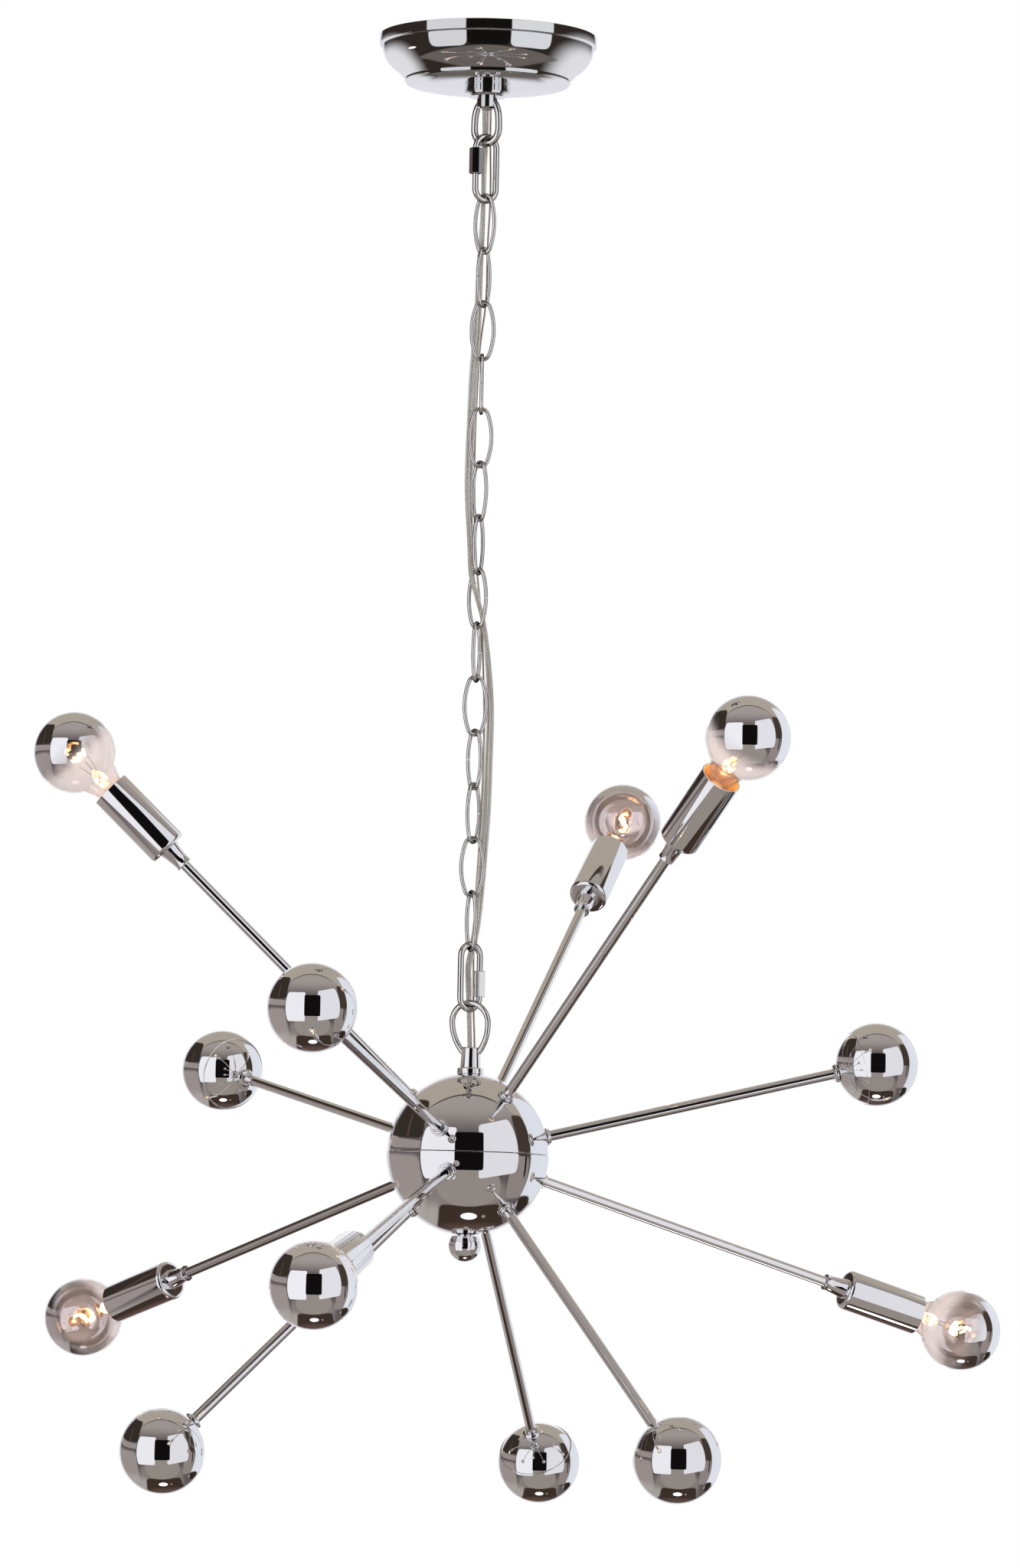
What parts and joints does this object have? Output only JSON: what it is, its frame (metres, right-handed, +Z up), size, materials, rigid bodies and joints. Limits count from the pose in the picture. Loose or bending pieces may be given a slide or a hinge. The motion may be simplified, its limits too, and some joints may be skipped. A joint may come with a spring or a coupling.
{
  "type": "sputnik chandelier",
  "caption": "Chrome hanging light: canopy, linked chain with a woven clear cord, and a round hub whose arms carry half mirrored globe bulbs and polished balls",
  "frame": {"origin": "middle of the bracket's two slots, on the ceiling plane at the canopy's rim", "axes": "+Z up along the drop line, +X to the right of the picture, +Y away from it"},
  "size_m": [0.6095, 0.6295, 0.9147],
  "materials": {
    "polished_chrome": "polished",
    "zinc_steel": "satin",
    "clear_cord": "clear",
    "ground_wire": "clear",
    "lead_insulation": "smooth",
    "lampholder_body": "glazed",
    "bulb_glass": "half mirrored crown",
    "bulb_base": "plain"
  },
  "bodies": {
    "canopy_group": {"canopy": "polished_chrome", "mounting_bracket": "zinc_steel", "canopy_nipple": "zinc_steel", "nipple_locknuts": "zinc_steel", "canopy_loop": "polished_chrome", "supply_cord": "clear_cord", "ground_wire": "ground_wire"},
    "screw_collar": {"screw_collar": "polished_chrome"},
    "upper_quick_link": {"upper_quick_link": "polished_chrome"},
    "upper_link_sleeve": {"upper_link_sleeve": "polished_chrome"},
    "chain_link_01": {"chain_link_01": "polished_chrome"},
    "chain_link_02": {"chain_link_02": "polished_chrome"},
    "chain_link_03": {"chain_link_03": "polished_chrome"},
    "chain_link_04": {"chain_link_04": "polished_chrome"},
    "chain_link_05": {"chain_link_05": "polished_chrome"},
    "chain_link_06": {"chain_link_06": "polished_chrome"},
    "chain_link_07": {"chain_link_07": "polished_chrome"},
    "chain_link_08": {"chain_link_08": "polished_chrome"},
    "chain_link_09": {"chain_link_09": "polished_chrome"},
    "chain_link_10": {"chain_link_10": "polished_chrome"},
    "chain_link_11": {"chain_link_11": "polished_chrome"},
    "chain_link_12": {"chain_link_12": "polished_chrome"},
    "chain_link_13": {"chain_link_13": "polished_chrome"},
    "chain_link_14": {"chain_link_14": "polished_chrome"},
    "lower_quick_link": {"lower_quick_link": "polished_chrome"},
    "lower_link_sleeve": {"lower_link_sleeve": "polished_chrome"},
    "hub_group": {"hub_loop": "polished_chrome", "hub_upper_shell": "polished_chrome", "hub_lower_shell": "polished_chrome", "hub_rod": "zinc_steel", "hub_end_collars": "polished_chrome", "arm_nuts": "zinc_steel", "lamp_arms": "polished_chrome", "ball_arms": "polished_chrome", "lamp_leads": "lead_insulation", "ferrules": "polished_chrome", "lampholders": "lampholder_body", "ball_front_shells": "polished_chrome", "ball_rear_shells": "polished_chrome", "ball_end_collars": "polished_chrome", "socket_sleeve_1": "polished_chrome", "socket_sleeve_2": "polished_chrome", "socket_sleeve_3": "polished_chrome", "socket_sleeve_4": "polished_chrome", "socket_sleeve_5": "polished_chrome", "socket_sleeve_6": "polished_chrome"},
    "finial": {"finial": "polished_chrome"},
    "bulb_1": {"bulb_1": "bulb_glass", "bulb_base_1": "bulb_base"},
    "bulb_2": {"bulb_2": "bulb_glass", "bulb_base_2": "bulb_base"},
    "bulb_3": {"bulb_3": "bulb_glass", "bulb_base_3": "bulb_base"},
    "bulb_4": {"bulb_4": "bulb_glass", "bulb_base_4": "bulb_base"},
    "bulb_5": {"bulb_5": "bulb_glass", "bulb_base_5": "bulb_base"},
    "bulb_6": {"bulb_6": "bulb_glass", "bulb_base_6": "bulb_base"}
  },
  "joints": [
    {"name": "upper_quick_link_swing", "type": "hinge", "parent": "canopy_group", "child": "upper_quick_link", "pos_m": [0, 0, -0.0664], "axis": [0.8387, -0.5446, 0], "range_deg": [-5, 5], "deforming": ["supply_cord", "ground_wire"]},
    {"name": "chain_link_01_swing", "type": "hinge", "parent": "upper_quick_link", "child": "chain_link_01", "pos_m": [0, 0, -0.10185], "axis": [0.8572, 0.515, 0], "range_deg": [-5, 5], "deforming": ["supply_cord", "ground_wire"]},
    {"name": "chain_link_02_swing", "type": "hinge", "parent": "chain_link_01", "child": "chain_link_02", "pos_m": [0, 0, -0.13425], "axis": [0.8572, -0.515, 0], "range_deg": [-5, 5], "deforming": ["supply_cord", "ground_wire"]},
    {"name": "chain_link_03_swing", "type": "hinge", "parent": "chain_link_02", "child": "chain_link_03", "pos_m": [0, 0, -0.16735], "axis": [0.5299, 0.848, 0], "range_deg": [-5, 5], "deforming": ["supply_cord", "ground_wire"]},
    {"name": "chain_link_04_swing", "type": "hinge", "parent": "chain_link_03", "child": "chain_link_04", "pos_m": [0, 0, -0.20045], "axis": [1, 0, 0], "range_deg": [-5, 5], "deforming": ["supply_cord", "ground_wire"]},
    {"name": "chain_link_05_swing", "type": "hinge", "parent": "chain_link_04", "child": "chain_link_05", "pos_m": [0, 0, -0.23355], "axis": [0, 1, 0], "range_deg": [-5, 5], "deforming": ["supply_cord", "ground_wire"]},
    {"name": "chain_link_06_swing", "type": "hinge", "parent": "chain_link_05", "child": "chain_link_06", "pos_m": [0, 0, -0.26665], "axis": [0.9903, 0.1392, 0], "range_deg": [-5, 5], "deforming": ["supply_cord", "ground_wire"]},
    {"name": "chain_link_07_swing", "type": "hinge", "parent": "chain_link_06", "child": "chain_link_07", "pos_m": [0, 0, -0.29975], "axis": [0.6018, -0.7986, 0], "range_deg": [-5, 5], "deforming": ["supply_cord", "ground_wire"]},
    {"name": "chain_link_08_swing", "type": "hinge", "parent": "chain_link_07", "child": "chain_link_08", "pos_m": [0, 0, -0.33285], "axis": [0.3907, 0.9205, 0], "range_deg": [-5, 5], "deforming": ["supply_cord", "ground_wire"]},
    {"name": "chain_link_09_swing", "type": "hinge", "parent": "chain_link_08", "child": "chain_link_09", "pos_m": [0, 0, -0.36595], "axis": [0.766, -0.6428, 0], "range_deg": [-5, 5], "deforming": ["supply_cord", "ground_wire"]},
    {"name": "chain_link_10_swing", "type": "hinge", "parent": "chain_link_09", "child": "chain_link_10", "pos_m": [0, 0, -0.39905], "axis": [0.2924, 0.9563, 0], "range_deg": [-5, 5], "deforming": ["supply_cord", "ground_wire"]},
    {"name": "chain_link_11_swing", "type": "hinge", "parent": "chain_link_10", "child": "chain_link_11", "pos_m": [0, 0, -0.43215], "axis": [0.9848, 0.1736, 0], "range_deg": [-5, 5], "deforming": ["supply_cord", "ground_wire"]},
    {"name": "chain_link_12_swing", "type": "hinge", "parent": "chain_link_11", "child": "chain_link_12", "pos_m": [0, 0, -0.46525], "axis": [0.5736, -0.8192, 0], "range_deg": [-5, 5], "deforming": ["supply_cord", "ground_wire"]},
    {"name": "chain_link_13_swing", "type": "hinge", "parent": "chain_link_12", "child": "chain_link_13", "pos_m": [0, 0, -0.49835], "axis": [0.5299, 0.848, 0], "range_deg": [-5, 5], "deforming": ["supply_cord", "ground_wire"]},
    {"name": "chain_link_14_swing", "type": "hinge", "parent": "chain_link_13", "child": "chain_link_14", "pos_m": [0, 0, -0.53145], "axis": [1, 0, 0], "range_deg": [-5, 5], "deforming": ["supply_cord", "ground_wire"]},
    {"name": "lower_quick_link_swing", "type": "hinge", "parent": "chain_link_14", "child": "lower_quick_link", "pos_m": [0, 0, -0.56455], "axis": [0.3907, -0.9205, 0], "range_deg": [-5, 5], "deforming": ["supply_cord", "ground_wire"]},
    {"name": "hub_swing", "type": "hinge", "parent": "lower_quick_link", "child": "hub_group", "pos_m": [0, 0, -0.60095], "axis": [0.788, 0.6157, 0], "range_deg": [-5, 5], "deforming": ["supply_cord", "ground_wire"]},
    {"name": "upper_sleeve_slide", "type": "slide", "parent": "upper_quick_link", "child": "upper_link_sleeve", "axis": [0, 0, -1], "range_m": [0, 0.0088]},
    {"name": "lower_sleeve_slide", "type": "slide", "parent": "lower_quick_link", "child": "lower_link_sleeve", "axis": [0, 0, 1], "range_m": [0, 0.0088]},
    {"name": "screw_collar_turn", "type": "hinge", "parent": "canopy_group", "child": "screw_collar", "pos_m": [0, 0, -0.0338], "axis": [0, 0, 1], "continuous": true},
    {"name": "finial_turn", "type": "hinge", "parent": "hub_group", "child": "finial", "pos_m": [-0.00012, -0.00464, -0.74552], "axis": [0.0122, 0.0523, 0.9986], "continuous": true},
    {"name": "bulb_1_turn", "type": "hinge", "parent": "hub_group", "child": "bulb_1", "pos_m": [-0.2114, -0.00094, -0.48156], "axis": [-0.7137, 0.0026, 0.7005], "continuous": true},
    {"name": "bulb_2_turn", "type": "hinge", "parent": "hub_group", "child": "bulb_2", "pos_m": [0.13755, -0.15437, -0.4748], "axis": [0.4613, -0.514, 0.7232], "continuous": true},
    {"name": "bulb_3_turn", "type": "hinge", "parent": "hub_group", "child": "bulb_3", "pos_m": [0.08484, 0.21507, -0.50491], "axis": [0.2838, 0.7299, 0.6219], "continuous": true},
    {"name": "bulb_4_turn", "type": "hinge", "parent": "hub_group", "child": "bulb_4", "pos_m": [-0.07188, -0.28378, -0.7479], "axis": [-0.2439, -0.9497, -0.1963], "continuous": true},
    {"name": "bulb_5_turn", "type": "hinge", "parent": "hub_group", "child": "bulb_5", "pos_m": [0.26956, 0.08394, -0.78185], "axis": [0.9057, 0.2884, -0.3106], "continuous": true},
    {"name": "bulb_6_turn", "type": "hinge", "parent": "hub_group", "child": "bulb_6", "pos_m": [-0.2121, 0.18053, -0.78846], "axis": [-0.716, 0.6136, -0.3329], "continuous": true}
  ]
}
